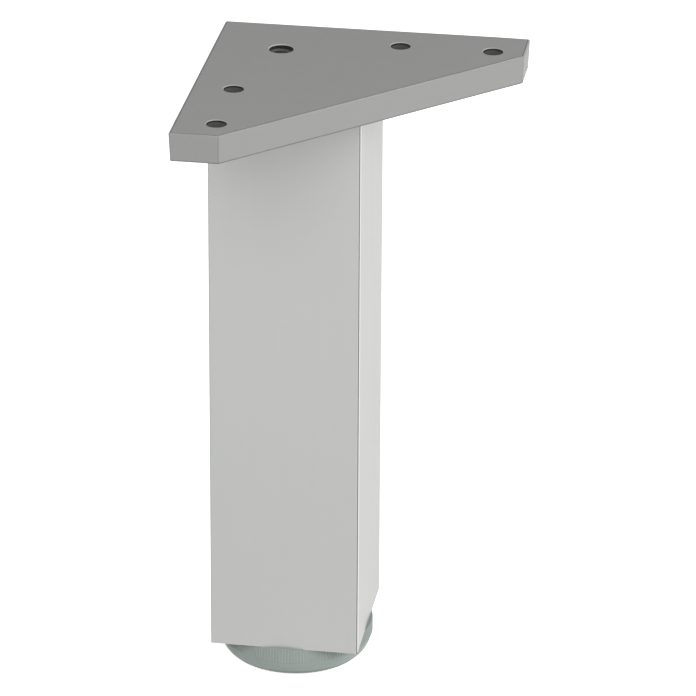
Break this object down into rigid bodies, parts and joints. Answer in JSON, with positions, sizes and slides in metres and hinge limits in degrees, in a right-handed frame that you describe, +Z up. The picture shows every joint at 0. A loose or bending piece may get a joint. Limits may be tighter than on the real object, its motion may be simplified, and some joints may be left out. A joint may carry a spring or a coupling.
{
  "type": "table leg",
  "caption": "Square metal table leg with a clipped triangular mounting plate on top and a ribbed round levelling foot that screws out of its lower end.",
  "frame": {"origin": "on the square tube's axis, on the floor under the foot", "axes": "+Z up along the tube; +X and -Y along the two equal edges of the triangular plate, away from its square corner"},
  "size_m": [0.1015, 0.1015, 0.2155],
  "materials": {
    "plate_paint": "grey painted zinc die casting, matt",
    "tube_metal": "fine brushed, satin, light grey",
    "plug_plastic": "black moulded nylon",
    "plated_steel": "bright zinc-plated steel",
    "foot_plastic": "grey-green moulded plastic with fine upright ribs",
    "pad_plastic": "dark grey smooth glide plastic"
  },
  "bodies": {
    "leg": {"mounting_plate": "plate_paint", "leg_tube": "tube_metal", "end_plug": "plug_plastic", "levelling_nut": "plated_steel"},
    "glide": {"glide_pad": "pad_plastic"},
    "foot": {"foot_disc": "foot_plastic", "levelling_bolt": "plated_steel"}
  },
  "joints": [
    {"name": "foot_travel", "type": "slide", "parent": "leg", "child": "glide", "axis": [0, 0, -1], "range_m": [0, 0.015]},
    {"name": "foot_turn", "type": "hinge", "parent": "glide", "child": "foot", "pos_m": [0, 0, 0], "axis": [0, 0, -1], "range_deg": [0, 3600]}
  ],
  "couplings": [
    {"joint": "foot_travel", "follows": "foot_turn", "m_per_rad": 0.00023873}
  ]
}
